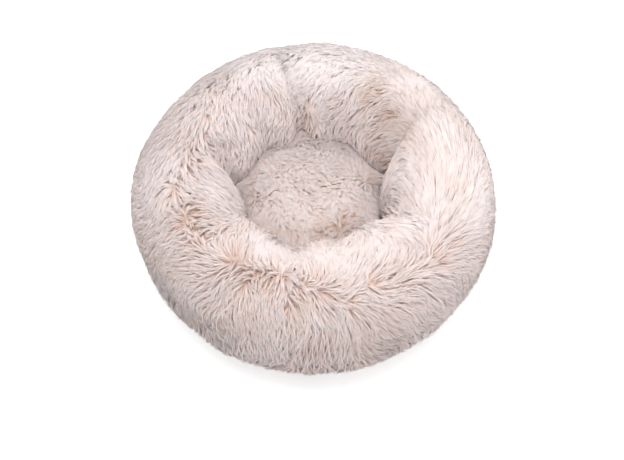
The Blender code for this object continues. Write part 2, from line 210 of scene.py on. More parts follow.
def waves(count, round_waves, across_waves):
    """Smooth random field over two coordinates, closed round the first."""
    first = rng.integers(-round_waves, round_waves + 1, count)
    second = rng.uniform(-across_waves, across_waves, count)
    phase = rng.uniform(0, math.tau, count)

    def field(along, across):
        total = np.zeros(np.broadcast(along, across).shape)
        for a, b, p in zip(first, second, phase):
            total += np.cos(a * along + b * across + p)
        return total * math.sqrt(2 / count)

    return field


def unit(vectors):
    return vectors / np.maximum(np.linalg.norm(vectors, axis=-1, keepdims=True), 1e-12)


# Meshes
def array_mesh(name, points, groups, material, uvs=None, normals=None, uv_name="OFBake"):
    """Object from an array of points and arrays of faces; each group has faces of one corner count."""
    mesh = bpy.data.meshes.new(name)
    mesh.vertices.add(len(points))
    mesh.vertices.foreach_set("co", np.ascontiguousarray(points, np.float32).ravel())
    corners = np.concatenate([group.ravel() for group in groups]).astype(np.int32)
    totals = np.concatenate([np.full(len(group), group.shape[1], np.int32) for group in groups])
    starts = np.concatenate([[0], np.cumsum(totals)[:-1]]).astype(np.int32)
    mesh.loops.add(len(corners))
    mesh.loops.foreach_set("vertex_index", corners)
    mesh.polygons.add(len(totals))
    mesh.polygons.foreach_set("loop_start", starts)
    mesh.polygons.foreach_set("use_smooth", np.ones(len(totals), bool))
    mesh.update(calc_edges=True)
    mesh.validate()
    if uvs is not None:
        layer = mesh.uv_layers.new(name=uv_name)
        layer.uv.foreach_set("vector", np.ascontiguousarray(uvs[corners], np.float32).ravel())
    if normals is not None:
        layer = mesh.attributes.new("custom_normal", "FLOAT_VECTOR", "POINT")
        layer.data.foreach_set("vector", np.ascontiguousarray(normals, np.float32).ravel())
    mesh.materials.append(material)
    made = bpy.data.objects.new(name, mesh)
    bpy.context.scene.collection.objects.link(made)
    return made


def sewn(piece, body, slot, *nodes):
    """Makes a piece ride a body in place of the nodes that it shows."""
    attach(piece, body)
    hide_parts(*nodes)
    return piece


def walls(here, there, axis):
    """Quads between two grids of corners that close on themselves along an axis."""
    return np.stack([here, there, np.roll(there, -1, axis), np.roll(here, -1, axis)], -1).reshape(-1, 4)


def strands(name, paths, widths, lifts, tones, evenness, pale_from, material):
    """Tapering three-sided strands along paths of rings and a tip, each closed."""
    count, steps = paths.shape[:2]
    rings = steps - 1
    along = np.empty_like(paths)
    along[:, 1:-1] = paths[:, 2:] - paths[:, :-2]
    along[:, 0] = paths[:, 1] - paths[:, 0]
    along[:, -1] = paths[:, -1] - paths[:, -2]
    along = unit(along)
    side = unit(np.cross(np.broadcast_to(lifts[:, None], paths.shape), along))
    top = np.cross(along, side)
    shape = np.interp(np.arange(rings) / rings, strand_places, strand_width_shares)
    reach = widths[:, None, None] * shape[None, :, None]
    even = evenness[:, None, None]
    points = np.empty((count, rings * 3 + 1, 3))
    normals = np.empty_like(points)
    for corner in range(3):
        angle = math.tau * corner / 3 + math.pi / 6
        ring = math.cos(angle) * side[:, :rings] + math.sin(angle) * top[:, :rings]
        points[:, corner : rings * 3 : 3] = paths[:, :rings] + reach * ring
        normals[:, corner : rings * 3 : 3] = unit((1 - even) * ring + even * lifts[:, None])
    points[:, -1] = paths[:, -1]
    normals[:, -1] = lifts
    quads, tips = [], []
    for ring in range(rings - 1):
        for corner in range(3):
            here, there = ring * 3 + corner, ring * 3 + (corner + 1) % 3
            quads.append((here, there, there + 3, here + 3))
    last = (rings - 1) * 3
    for corner in range(3):
        tips.append((last + corner, last + (corner + 1) % 3, rings * 3))
    tips.append((2, 1, 0))
    base = (np.arange(count) * (rings * 3 + 1))[:, None, None]
    groups = [(base + np.array(quads)[None]).reshape(-1, 4), (base + np.array(tips)[None]).reshape(-1, 3)]
    levels = np.append(np.repeat(np.linspace(0, 1, steps)[:-1], 3), 1.0)
    start = pale_from[:, None]
    uvs = np.empty((count, rings * 3 + 1, 2))
    uvs[:, :, 1] = map_margin + (1 - 2 * map_margin) * (start + (1 - start) * levels)
    uvs[:, :, 0] = np.clip(tones, least_map_tone, most_map_tone)[:, None]
    uvs[:, 1::3, 0] += map_sliver
    uvs[:, 2::3, 0] += 2 * map_sliver
    uvs[:, -1, 0] = uvs[:, 0, 0] + map_sliver
    return array_mesh(
        name, points.reshape(-1, 3), groups, material, uvs.reshape(-1, 2), normals.reshape(-1, 3)
    )


def cloth_places(section):
    """Cloth coordinates of a grid of points, in metres: round the bed, and along each section."""
    radius = np.hypot(section[..., 0], section[..., 1])
    azimuth = np.arange(section.shape[0])[:, None] * math.tau / section.shape[0]
    steps = np.linalg.norm(np.diff(section, axis=1, prepend=section[:, :1]), axis=-1)
    along, across = np.broadcast_arrays(azimuth * radius.mean(), np.cumsum(steps, 1).mean(0)[None])
    return np.stack([along, across], -1).reshape(-1, 2)


def section_mesh(name, section, material):
    """Closed ring from sections, each a closed loop of points."""
    index = np.arange(section.shape[0] * section.shape[1]).reshape(section.shape[:2])
    faces = walls(index, np.roll(index, -1, 0), 1)
    return array_mesh(name, section.reshape(-1, 3), [faces], material, cloth_places(section), uv_name="cloth")


def strip_mesh(name, sections, material, places):
    """Strip with closed ends, from sections that are closed loops."""
    index = np.arange(sections.shape[0] * sections.shape[1]).reshape(sections.shape[:2])
    faces = [walls(index[:-1], index[1:], 1), np.stack([index[0], index[-1, ::-1]])]
    return array_mesh(name, sections.reshape(-1, 3), faces, material, places, uv_name="cloth")


def revolved(name, profile, poles, material, shift=0.0, columns=180, warp=None):
    """Closed body turned round an upright axis, from its lower pole out to the rim and back to its upper."""
    profile = np.asarray(profile, float)
    azimuth = (np.arange(columns) * math.tau / columns)[:, None]
    points = polar(profile[None, :, 0], azimuth, profile[None, :, 1])
    steps = np.hypot(*np.diff(np.concatenate([[(0, poles[0])], profile]), axis=0).T)
    reach = np.cumsum(steps)[None]
    places = polar(reach, azimuth, 0.0)[..., :2].reshape(-1, 2)
    if warp is not None:
        points = warp(points)
    rows = len(profile)
    index = np.arange(columns * rows).reshape(columns, rows)
    there = np.roll(index, -1, 0)
    sides = np.stack([index[:, :-1], there[:, :-1], there[:, 1:], index[:, 1:]], -1).reshape(-1, 4)
    low = np.stack([np.full(columns, columns * rows), there[:, 0], index[:, 0]], -1)
    high = np.stack([np.full(columns, columns * rows + 1), index[:, -1], there[:, -1]], -1)
    points = np.concatenate([points.reshape(-1, 3), [(0, 0, poles[0]), (0, 0, poles[1])]])
    places = np.concatenate([places, [(0, 0), (float(reach[0, -1]), 0)]])
    groups = [sides, np.concatenate([low, high])]
    return array_mesh(name, points + well_centre(shift), groups, material, places, uv_name="cloth")


def tubes(name, paths, radii, facing, sides, material):
    """Closed round tubes along paths; facing is a direction that is never along them."""
    count, steps = paths.shape[:2]
    along = unit(np.gradient(paths, axis=1))
    side = unit(np.cross(np.broadcast_to(facing, paths.shape), along))
    top = np.cross(along, side)
    angle = math.tau * np.arange(sides) / sides
    round_it = np.cos(angle)[:, None] * side[:, :, None] + np.sin(angle)[:, None] * top[:, :, None]
    points = paths[:, :, None] + np.asarray(radii)[..., None, None] * round_it
    index = np.arange(count * steps * sides).reshape(count, steps, sides)
    here, there = index[:, :-1], index[:, 1:]
    faces = np.stack([here, np.roll(here, -1, 2), np.roll(there, -1, 2), there], -1).reshape(-1, 4)
    ends = np.concatenate([index[:, 0, ::-1], index[:, -1]])
    return array_mesh(name, points.reshape(-1, 3), [faces, ends], material)


# Materials
def new_material(name, roughness, sheen=0.0):
    material = bpy.data.materials.new(name)
    material.use_nodes = True
    tree = material.node_tree
    shader = tree.nodes["Principled BSDF"]
    shader.inputs["Roughness"].default_value = roughness
    shader.inputs["Specular IOR Level"].default_value = 0.25
    shader.inputs["Sheen Weight"].default_value = sheen
    return material, tree, shader


def shade(red, green, blue):
    """Linear colour from 8-bit display values."""
    return tuple(((v / 255 + 0.055) / 1.055) ** 2.4 if v > 10 else v / 3295 for v in (red, green, blue))


def ramp(tree, source, stops):
    """Colour ramp; each stop is a place and a linear colour."""
    node = tree.nodes.new("ShaderNodeValToRGB")
    node.color_ramp.interpolation = "EASE"
    points = node.color_ramp.elements
    while len(points) < len(stops):
        points.new(0.5)
    for point, (place, colour) in zip(points, stops):
        point.position = place
        point.color = (*colour, 1)
    tree.links.new(source, node.inputs["Fac"])
    return node.outputs["Color"]


def maths(tree, operation, *values):
    node = tree.nodes.new("ShaderNodeMath")
    node.operation = operation
    for socket, value in zip(node.inputs, values):
        if isinstance(value, (int, float)):
            socket.default_value = value
        else:
            tree.links.new(value, socket)
    return node.outputs[0]


def mapped(tree, source, ends, to=(0.0, 1.0)):
    """Value mapped from a pair of ends to another pair."""
    node = tree.nodes.new("ShaderNodeMapRange")
    for name, value in zip(("From Min", "From Max", "To Min", "To Max"), (*ends, *to)):
        node.inputs[name].default_value = value
    tree.links.new(source, node.inputs["Value"])
    return node.outputs["Result"]


def map_places(tree, map_name):
    """The two coordinates of a texture map."""
    place = tree.nodes.new("ShaderNodeUVMap")
    place.uv_map = map_name
    split = tree.nodes.new("ShaderNodeSeparateXYZ")
    tree.links.new(place.outputs["UV"], split.inputs["Vector"])
    return split.outputs["X"], split.outputs["Y"]


def bump(tree, shader, height, strength, distance):
    node = tree.nodes.new("ShaderNodeBump")
    node.inputs["Strength"].default_value = strength
    node.inputs["Distance"].default_value = distance
    tree.links.new(height, node.inputs["Height"])
    tree.links.new(node.outputs["Normal"], shader.inputs["Normal"])


def noise(tree, scale, detail=3.0, stretch=None):
    place = tree.nodes.new("ShaderNodeTexCoord").outputs["Object"]
    if stretch:
        mapping = tree.nodes.new("ShaderNodeMapping")
        mapping.inputs["Scale"].default_value = stretch
        tree.links.new(place, mapping.inputs["Vector"])
        place = mapping.outputs["Vector"]
    node = tree.nodes.new("ShaderNodeTexNoise")
    node.inputs["Scale"].default_value = scale
    node.inputs["Detail"].default_value = detail
    tree.links.new(place, node.inputs["Vector"])
    return node.outputs["Fac"]


def fur_material():
    """Strands whose colour depends on their own tone, and on the place between root and tip, darker at the
    root as painted shade.
    """
    material, tree, shader = new_material("plush_pile", 0.72, 0.25)
    shader.inputs["Sheen Roughness"].default_value = 0.5
    tone, level = map_places(tree, "OFBake")
    colour = None
    shades = ((tan_strand, None), (pale_strand, (0.0, pale_tone)), (white_strand, (pale_tone, 1.0)))
    for strand, ends in shades:
        lighter = ramp(tree, level, [(place, shade(*display)) for place, *display in strand])
        if colour:
            mix = tree.nodes.new("ShaderNodeMix")
            mix.data_type = "RGBA"
            tree.links.new(mapped(tree, tone, ends), mix.inputs["Factor"])
            tree.links.new(colour, mix.inputs["A"])
            tree.links.new(lighter, mix.inputs["B"])
            lighter = mix.outputs["Result"]
        colour = lighter
    tree.links.new(colour, shader.inputs["Base Color"])
    return material


def coloured(tree, shader, source, *stops):
    """Gives a shader its colour by a ramp."""
    tree.links.new(ramp(tree, source, stops), shader.inputs["Base Color"])


def skin_material():
    material, tree, shader = new_material("plush_backing", 0.9)
    grain = tree.nodes.new("ShaderNodeTexNoise")
    grain.inputs["Scale"].default_value = 420
    coloured(tree, shader, grain.outputs["Fac"], (0.3, shade(238, 205, 188)), (0.7, shade(247, 225, 213)))
    return material


def woven_material(name, dark, light, pitch, roughness, band=None):
    """Threads over and under each other, or in a herringbone whose bands have the given width."""
    material, tree, shader = new_material(name, roughness, 0.15)
    along, across = map_places(tree, "cloth")
    turn = math.tau / pitch
    if band:
        zigzag = maths(tree, "PINGPONG", across, band)
        threads = maths(tree, "SINE", maths(tree, "MULTIPLY", maths(tree, "ADD", along, zigzag), turn))
    else:
        warp = maths(tree, "SINE", maths(tree, "MULTIPLY", along, turn))
        weft = maths(tree, "SINE", maths(tree, "MULTIPLY", across, turn))
        threads = maths(tree, "MULTIPLY", warp, weft)
    threads = maths(tree, "MULTIPLY_ADD", threads, 0.5, 0.5)
    cloud = maths(tree, "MULTIPLY", noise(tree, 26), 0.38)
    mixed = maths(tree, "ADD", maths(tree, "MULTIPLY", threads, 0.62), cloud)
    coloured(tree, shader, mixed, (0.15, shade(*dark)), (0.85, shade(*light)))
    bump(tree, shader, threads, 0.5, 0.00025)
    return material


def mottled_material(name, dark, light, scale, roughness, sheen=0.0, relief=0.0003, stretch=None):
    material, tree, shader = new_material(name, roughness, sheen)
    grain = noise(tree, scale, 5.0, stretch)
    coloured(tree, shader, grain, (0.3, shade(*dark)), (0.7, shade(*light)))
    bump(tree, shader, grain, 0.6, relief)
    return material


def metal_material():
    material, tree, shader = new_material("satin_nickel", 0.3)
    shader.inputs["Metallic"].default_value = 1.0
    shader.inputs["Specular IOR Level"].default_value = 0.5
    brushed = noise(tree, 900, 4.0, (1, 1, 0.12))
    coloured(tree, shader, brushed, (0.25, (0.44, 0.43, 0.41)), (0.75, (0.60, 0.59, 0.57)))
    tree.links.new(mapped(tree, brushed, (0.0, 1.0), (0.24, 0.42)), shader.inputs["Roughness"])
    bump(tree, shader, brushed, 0.25, 0.00004)
    return material


fur = fur_material()
backing = skin_material()
base_weave = woven_material("base_weave", (158, 149, 143), (196, 188, 181), 0.0011, 0.75)
tape_weave = woven_material("binding_weave", (166, 150, 141), (203, 189, 180), 0.0012, 0.7, 0.0016)
zip_weave = woven_material("zip_tape_weave", (184, 168, 158), (216, 202, 192), 0.0009, 0.7, 0.0014)
thread = mottled_material("sewing_thread", (192, 176, 166), (222, 208, 199), 900, 0.55, 0.2, 0.0001, (1, 1, 3))
rubber = mottled_material("grip_dots", (196, 190, 184), (214, 209, 204), 300, 0.45, 0.0, 0.0001)
lining = mottled_material("liner_cloth", (228, 225, 220), (244, 242, 238), 500, 0.85, 0.1, 0.0002)
wadding = mottled_material("polyester_fibre", (226, 226, 224), (250, 250, 248), 160, 0.95, 0.4, 0.0015)
nylon = mottled_material("zip_nylon", (200, 184, 174), (222, 208, 198), 700, 0.38, 0.0, 0.00005)
metal = metal_material()

# Flow of the pile on the ring: it parts along the crest and lies out and down, or down into the well
swirl = waves(14, 9, 5)
fine_swirl = waves(18, 34, 14)
part_wave = waves(8, 5, 0.1)
lift_wave = waves(16, 26, 10)
curl_wave = waves(14, 20, 9)
tone_wave = waves(16, 18, 8)
bunch_wave = waves(16, 17, 10)
# Whorls: azimuth and turn in degrees, size in metres, strength
whorls = (
    (234, 85, 0.024, 0.7), (206, 91, 0.018, 0.2), (274, 72, 0.026, 0.6), (321, 60, 0.024, 0.5),
    (220, 101, 0.013, 0.7), (243, 70, 0.014, 0.7), (256, 92, 0.012, 0.5), (262, 62, 0.013, 0.7),
    (284, 60, 0.015, 0.8), (296, 73, 0.013, 0.6), (307, 60, 0.013, 0.6), (194, 82, 0.014, 0.6),
)
# Pile that stands higher, in folds of the well and in a tuft: azimuth, turn, size, extra height
filled_folds = (
    (101, 168, 0.022, 0.0085), (97, 145, 0.014, 0.003), (271, 57, 0.005, 0.0045),
)
# Patches of darker pile, or of paler pile where the strength is negative: azimuth, turn, size, strength.
# Most are painted light and shade. Paler pile is painted light on the back top, the outer right and the walls
# of the well. Darker pile is painted shade in the creases and folds of the well, at its foot beside the
# cushion, over the inner front lip, low on the outer front and over the brightly lit crest. The rest are
# darker spots at the whorls and a white tuft.
shade_and_tone_patches = (
    (270, 30, 0.085, 0.06), (271, 55, 0.0065, -0.9), (80, 135, 0.05, -0.15), (150, 140, 0.06, -0.15),
    (332, 30, 0.07, -0.25), (20, 60, 0.06, -0.15), (175, 45, 0.06, -0.15), (350, 90, 0.07, 0.3),
    (25, 75, 0.06, 0.2), (275, 112, 0.04, 0.22), (298, 108, 0.036, 0.12), (322, 100, 0.044, 0.2),
    (80, 70, 0.065, -0.32), (120, 68, 0.065, -0.3), (100, 40, 0.06, -0.3), (251, 78, 0.015, 0.55),
    (206, 91, 0.012, 0.12), (234, 85, 0.022, 0.2), (271, 62, 0.022, 0.24), (321, 59, 0.012, 0.42),
    (46, 108, 0.02, 0.62), (20, 125, 0.017, 0.62), (60, 166, 0.034, -0.25), (120, 160, 0.034, -0.2),
    (30, 112, 0.04, 0.2), (4, 118, 0.012, 0.35), (27, 172, 0.024, 0.5), (101, 150, 0.03, 0.3),
    (101, 184, 0.016, 0.45), (165, 184, 0.018, 0.4),
)
# Where the pile parts: azimuth and turn in degrees
partings = (
    (0, 84), (30, 84), (60, 75), (80, 66), (110, 62), (140, 74), (180, 90), (225, 88), (270, 78), (300, 74),
    (321, 64), (337, 84), (360, 84),
)
# How far the pile fans out along the ring instead of parting: azimuth in degrees, share
fans = (
    (0, 1.0), (60, 1.0), (90, 0.75), (120, 0.7), (160, 0.9), (195, 0.8), (207, 0.0), (222, -0.5),
    (234, 0.0), (243, 0.4), (254, 0.0), (264, -0.5), (273, 0.0), (284, 0.7), (306, 0.7), (321, 0.2),
    (332, 0.7), (345, 0.9), (360, 1.0),
)
# Zones brushed smooth, where no locks show: azimuth, turn, size, strength
calm_zones = (
    (70, 74, 0.036, 0.9), (98, 70, 0.036, 0.9), (52, 72, 0.034, 0.85), (84, 58, 0.034, 0.75),
    (258, 110, 0.028, 0.9), (283, 103, 0.034, 0.97), (307, 105, 0.032, 0.95), (330, 96, 0.034, 0.95),
    (349, 86, 0.036, 0.95), (13, 76, 0.04, 0.9), (80, 96, 0.034, 0.95), (54, 90, 0.032, 0.9),
    (105, 88, 0.034, 0.9), (86, 80, 0.034, 0.95), (245, 114, 0.03, 0.9), (270, 116, 0.034, 0.9),
    (295, 114, 0.034, 0.9), (318, 106, 0.036, 0.9), (340, 100, 0.04, 0.9), (2, 92, 0.044, 0.9),
    (24, 84, 0.046, 0.9), (46, 76, 0.046, 0.8), (72, 72, 0.05, 0.9), (66, 94, 0.036, 0.9),
    (92, 92, 0.036, 0.9), (116, 92, 0.03, 0.7), (70, 104, 0.03, 0.4), (90, 118, 0.034, 0.4),
    (190, 62, 0.05, 0.4), (120, 78, 0.04, 0.8), (108, 52, 0.05, 0.8), (60, 50, 0.05, 0.8),
    (356, 40, 0.05, 0.7), (10, 130, 0.034, 0.9), (350, 128, 0.036, 0.9), (325, 128, 0.036, 0.9),
    (345, 65, 0.045, 0.9), (20, 50, 0.05, 0.9), (300, 130, 0.034, 0.8), (275, 134, 0.034, 0.8),
    (250, 132, 0.03, 0.7), (95, 66, 0.05, 0.8), (195, 118, 0.02, 0.5),
)
# Zones of long locks with deep gaps between them
shaggy_zones = (
    (270, 10, 0.07, 1.0), (295, 10, 0.06, 0.7), (240, 10, 0.065, 0.8), (215, 40, 0.05, 0.2),
    (122, 112, 0.05, 0.4), (165, 130, 0.045, 0.5), (32, 130, 0.03, 0.5),
)


def ring_distance(azimuth, turn, centre_azimuth, centre_turn):
    """Metres from a place on the ring, round it and along its section."""
    along, around = ring_metric(turn)
    east = degrees_between(azimuth, centre_azimuth / 360) * math.pi / 180 * around
    north = (turn - math.radians(centre_turn)) * along
    return east, north


def spots(azimuth, turn, table, power=2):
    """What each spot of a table adds at places on the ring, less with the distance from its middle."""
    for spot_azimuth, spot_turn, size, strength in table:
        apart = np.hypot(*ring_distance(azimuth, turn, spot_azimuth, spot_turn))
        yield strength * np.exp(-0.5 * (apart / size) ** power)


def zone_strength(azimuth, turn, zones):
    return np.maximum.reduce(list(spots(azimuth, turn, zones, 4)))


def ring_flow(azimuth, turn):
    """Direction in which the pile lies: round the ring, and along the section towards the well."""
    degrees = np.degrees(azimuth) % 360
    part = np.interp(degrees, *zip(*partings)) + 5 * part_wave(azimuth, 0)
    fanned = np.interp(degrees, *zip(*fans))
    across_part = np.degrees(turn) - part
    inward = np.tanh(across_part / (12 + 26 * np.abs(fanned)))
    sideways = 0.36 * swirl(azimuth, turn) + 0.10 * fine_swirl(azimuth, turn)
    sideways = sideways + 0.95 * fanned * np.exp(-0.5 * (across_part / 42) ** 2)
    sideways = sideways * (1 - 0.55 * np.maximum(risen(turn, 20, -40), risen(turn, 130, 170)))
    for whorl_azimuth, whorl_turn, size, strength in whorls:
        east, north = ring_distance(azimuth, turn, whorl_azimuth, whorl_turn)
        reach = np.hypot(east, north)
        pull = strength * np.exp(-0.5 * (reach / size) ** 2) / np.maximum(reach, 0.004)
        sideways = sideways + pull * east
        inward = inward + pull * north
    return sideways, inward


def ring_locks():
    """Roots of the locks: close together round the ring, further apart along its section, with scatter."""
    low, high = math.radians(lowest_lock), math.pi + foot_turn(highest_lock)
    turns, azimuths = [], []
    turn = low
    while turn < high:
        along, around = ring_metric(np.array(turn))
        thin = 1.3 if turn > math.pi + 0.25 else 1.0
        count = int(math.tau * around / (lock_across * thin))
        azimuths.append((np.arange(count) + rng.uniform(0, 1)) * math.tau / count)
        turns.append(np.full(count, turn))
        turn += lock_apart * thin / float(along)
    azimuth, turn = np.concatenate(azimuths), np.concatenate(turns)
    along, around = ring_metric(turn)
    azimuth = azimuth + rng.uniform(-0.5, 0.5, len(azimuth)) * lock_across / around
    turn = turn + rng.uniform(-0.5, 0.5, len(turn)) * lock_apart / along
    degrees = np.degrees(azimuth) % 360
    rear = (degrees > pile_rise_start) & (degrees < 180 - pile_rise_start)
    keep = ~(rear & (turn < -foot_turn(zip_edge + 0.001))) & (turn > low)
    return azimuth[keep], turn[keep]


def lock_values(azimuth, turn):
    """How each lock of the ring lies, by the place of its root: an array for each of its qualities."""
    count = len(azimuth)
    sideways, inward = ring_flow(azimuth, turn)
    laid = smooth_step(np.hypot(sideways, inward) / 0.8)
    calm = zone_strength(azimuth, turn, calm_zones)
    shag = zone_strength(azimuth, turn, shaggy_zones) * (1 - calm)
    loose = 1 - 0.93 * calm + 0.6 * shag
    heading = np.arctan2(sideways, inward) + rng.normal(0, 0.11, count) * loose
    heading = heading + rng.normal(0, 0.5, count) * (1 - laid)
    reach = standing_reach + laid_reach * laid + hanging_reach * risen(turn, 75, 25) + shag_reach * shag
    reach = reach * rng.uniform(0.82, 1.15, count)
    bunch_phase = bunch_count * azimuth + 2.4 * bunch_wave(azimuth, turn)
    bunched = (0.20 + 0.80 * shag) * (1 - calm) * np.cos(heading) ** 2
    scatter = wave_height * lift_wave(azimuth, turn) + rng.normal(0, scatter_height, count)
    height = standing_height - laid_drop * laid + loose * scatter
    height = height + (bunch_height + shag_bunch_height * shag) * bunched * np.cos(bunch_phase)
    height = height + sum(spots(azimuth, turn, filled_folds))
    curl = loose * (0.15 * curl_wave(azimuth, turn) + rng.normal(0, 0.10, count))
    # The patches paint light and shade into the tone of the pile, besides a few spots of its own colour
    tone = ring_middle_tone + 0.09 * tone_wave(azimuth, turn) - sum(spots(azimuth, turn, shade_and_tone_patches))
    tone = tone + rng.normal(0, 0.06, count) * loose
    return azimuth, turn, heading, reach, height, curl, tone, calm, shag, loose, bunched, bunch_phase


def shading_lift(azimuth, turn, paths, off_middle, rim):
    """Direction that a strand is shaded from: out of the pile, and up at the rim and in the well."""
    lift = unit(ring_point(azimuth, turn, 0.0) - ring_point(azimuth, turn, 0.01))
    lock_side = unit(np.cross(paths[:, -1] - paths[:, 0], lift))
    lift = unit(lift + lock_side * (0.15 * off_middle)[:, None])
    bowl = risen(turn, 95, 140) * (1 - 0.7 * risen(turn, 158, 183))
    return unit(lift + np.array([0, 0, 1]) * (0.45 * rim + 0.78 * bowl)[:, None])


def ring_fur(rings=3):
    """Strands of the ring: the azimuths of their roots, and what the strands are made of."""
    locks = lock_values(*ring_locks())
    count = len(locks[0])
    which = np.repeat(np.arange(count), lock_strands)
    total = len(which)
    azimuth, turn, heading, reach, height, curl, tone, calm, shag, loose, bunched, bunch_phase = (
        values[which] for values in locks
    )
    core = np.tile(np.arange(lock_strands) == 0, count)
    sin, cos = np.sin(heading), np.cos(heading)
    aside = rng.normal(0, 1, total) * (lock_spread - shag_pull * shag) * ~core
    behind = rng.uniform(-1, 1, total) * lock_depth * ~core
    east = aside * cos + behind * sin
    north = -aside * sin + behind * cos
    off_middle = aside / lock_spread
    tightness = rng.uniform(0.68, 0.91, total) * (1 - 0.85 * calm)
    tightness = tightness + (0.98 - tightness) * 0.7 * shag
    reach = reach * rng.uniform(0.86, 1.1, total)
    height = height * (1 - (1 - 0.8 * calm) * rng.uniform(-0.05, 0.12, total))
    height = np.maximum(height * (1 - 0.10 * loose * np.minimum(off_middle**2, 3)), least_height)
    stray = (rng.uniform(0, 1, total) < 0.22 * (1 - 0.8 * calm)) & ~core
    height = height + rng.uniform(0, stray_height, total) * stray * (1 - 0.6 * calm)
    halo = (rng.uniform(0, 1, total) < 0.05 * (1 - 0.6 * calm)) & ~core
    height = height + rng.uniform(*halo_heights, total) * halo
    heading = heading + rng.normal(0, 0.03, total) + rng.normal(0, 0.22, total) * stray
    curl = curl + rng.normal(0, 0.05, total)
    tone = tone + rng.normal(0, 0.04, total) * loose

    lowest = np.radians(rng.uniform(-74, -58, count))[which]
    ragged = rng.uniform(-0.9, 0.9, count)[which] * smooth_step(-np.sin(azimuth) / 0.25)
    uneven = 1 + ragged + 0.15 * rng.uniform(-1, 1, count)[which]
    along, around = ring_metric(turn)
    paths = np.empty((total, rings + 1, 3))
    for step, share in enumerate(np.linspace(0, 1, rings + 1)):
        bend = heading + curl * share
        run = reach * (share**1.05 - 0.22)
        gathering = 1 - tightness * smooth_step(share / 0.7)
        here_east = east * gathering + run * np.sin(bend)
        here_north = north * gathering + run * np.cos(bend)
        here_turn = np.clip(turn + here_north / along, lowest, math.pi + foot_turn(highest_tip))
        along_bunch = bunch_count * here_east / around + bunch_phase
        drawn_in = bunched * (0.35 + 0.65 * share) * np.sin(along_bunch) / bunch_count
        here_azimuth = azimuth + here_east / around - drawn_in
        rise = height * np.sin(math.pi / 2 * min(1, 1.3 * share) ** 0.9) - root_depth
        inset = np.maximum(skin_inset - rise, -most_proud)
        paths[:, step] = ring_point(here_azimuth, here_turn, inset, 0.0, hang(here_azimuth) * uneven)

    rim = smooth_step((np.sin(azimuth) + 0.75) / 0.7) * risen(turn, 60, 10)
    lift = shading_lift(azimuth, turn, paths, loose * np.clip(off_middle, -2, 2), rim)
    core_width = rng.uniform(*core_widths, total) * (1 - 0.55 * calm)
    fine_width = rng.uniform(*fine_widths, total) * (1 + 0.45 * calm)
    width = np.where(core, core_width, fine_width) * (1 - 0.35 * halo)
    evenness = (pile_evenness + (calm_evenness - pile_evenness) * calm) * (1 - 0.4 * rim)
    return azimuth % math.tau, (paths, width, lift, tone, evenness, calm_pale_from * calm)


def ring_skin():
    """Backing of the pile: the cover's knitted cloth, closed into a body."""
    columns, outer_rows, inner_rows = 240, 66, 40
    azimuth = (np.arange(columns) * math.tau / columns)[:, None]
    edge = cover_edge + (zip_edge - cover_edge) * over_zip(azimuth, cover_rise_start, zip_rise_end)
    low = -np.arcsin((belly_height - edge) / belly_height)
    high = math.pi + foot_turn(well_edge + 0.0006)
    faces = []
    for start, rows, inset in ((0, outer_rows, skin_inset), (1, inner_rows, skin_back_inset)):
        turns = low + (high - low) * np.linspace(start, 1 - start, rows)[None]
        faces.append(ring_point(np.broadcast_to(azimuth, turns.shape), turns, inset))
    return section_mesh("bolster_backing", np.concatenate(faces, 1), backing)


def pile_piece(name, body, node, pile, inside):
    """Piece of pile from the strands that lie inside its part."""
    sewn(strands(name, *(values[inside] for values in pile), fur), body, "plush", node)


azimuths, pile = ring_fur()
sectors = 24
for sector in range(sectors):
    inside = (azimuths >= sector * math.tau / sectors) & (azimuths < (sector + 1) * math.tau / sectors)
    pile_piece(f"bolster_pile_{sector + 1:02d}", "bed", "bolster_cover", pile, inside)
sewn(ring_skin(), "bed", "plush", "bolster_cover")

# Cushion
cushion_centre = well_centre(well_shift) + np.array([0, 0, cushion_seam])
cushion_turn = waves(12, 4, 60)
# Patches of darker pile on the cushion: place from its middle, size, strength
cushion_patches = (
    (0.020, -0.072, 0.013, 0.6), (0.058, -0.074, 0.011, 0.5), (-0.02, -0.082, 0.008, 0.4),
    (0.01, 0.0, 0.03, 0.2),
)


def cushion_reach(azimuth):
    """Radius of the cushion, which swells into the gathers of the ring."""
    centre = well_centre(well_shift)
    east, north = centre[0] + mouth_radius * np.cos(azimuth), centre[1] + mouth_radius * np.sin(azimuth)
    facing = np.arctan2(north, east)
    return cushion_radius * (1 + cushion_press_share * gather_depth * gathered(facing) / mouth_radius)


def cushion_shell(offsets, inset):
    """Moves points, given from the cushion's middle at its seam, onto its crowned top less an inset."""
    azimuth = np.arctan2(offsets[..., 1], offsets[..., 0])
    radius = cushion_reach(azimuth)
    flat = np.hypot(offsets[..., 0], offsets[..., 1]) / radius
    up = np.abs(offsets[..., 2]) / cushion_rise
    size = (flat**cushion_fullness + up**cushion_fullness) ** (1 / cushion_fullness)
    shell = offsets / size[..., None]
    length = np.linalg.norm(shell, axis=-1, keepdims=True)
    inset = np.asarray(inset)
    inset = inset[..., None] if inset.ndim else inset
    return shell * (1 - inset / length)


def cushion_roots(spacing):
    """Roots of the cushion's locks: a scattered grid over its top, and rows round its side."""
    reach = cushion_radius + 0.02
    grid = (np.arange(int(2 * reach / spacing)) + 0.5) * spacing - reach
    x, y = (places.ravel() for places in np.meshgrid(grid, grid))
    x = x + rng.uniform(-0.45, 0.45, len(x)) * spacing
    y = y + rng.uniform(-0.45, 0.45, len(y)) * spacing
    flat = np.hypot(x, y) / cushion_reach(np.arctan2(y, x))
    keep = flat < 0.965
    z = cushion_rise * (1 - flat[keep] ** cushion_fullness) ** (1 / cushion_fullness)
    roots = [np.stack([x[keep], y[keep], z], -1)]
    around = int(math.tau * cushion_radius / spacing)
    for height in np.arange(0.001, 0.030, spacing):
        angle = (np.arange(around) + rng.uniform(0, 1)) * math.tau / around
        roots.append(polar(1.0, angle, height / cushion_radius * 2))
    return cushion_shell(np.concatenate(roots), cushion_skin_inset)


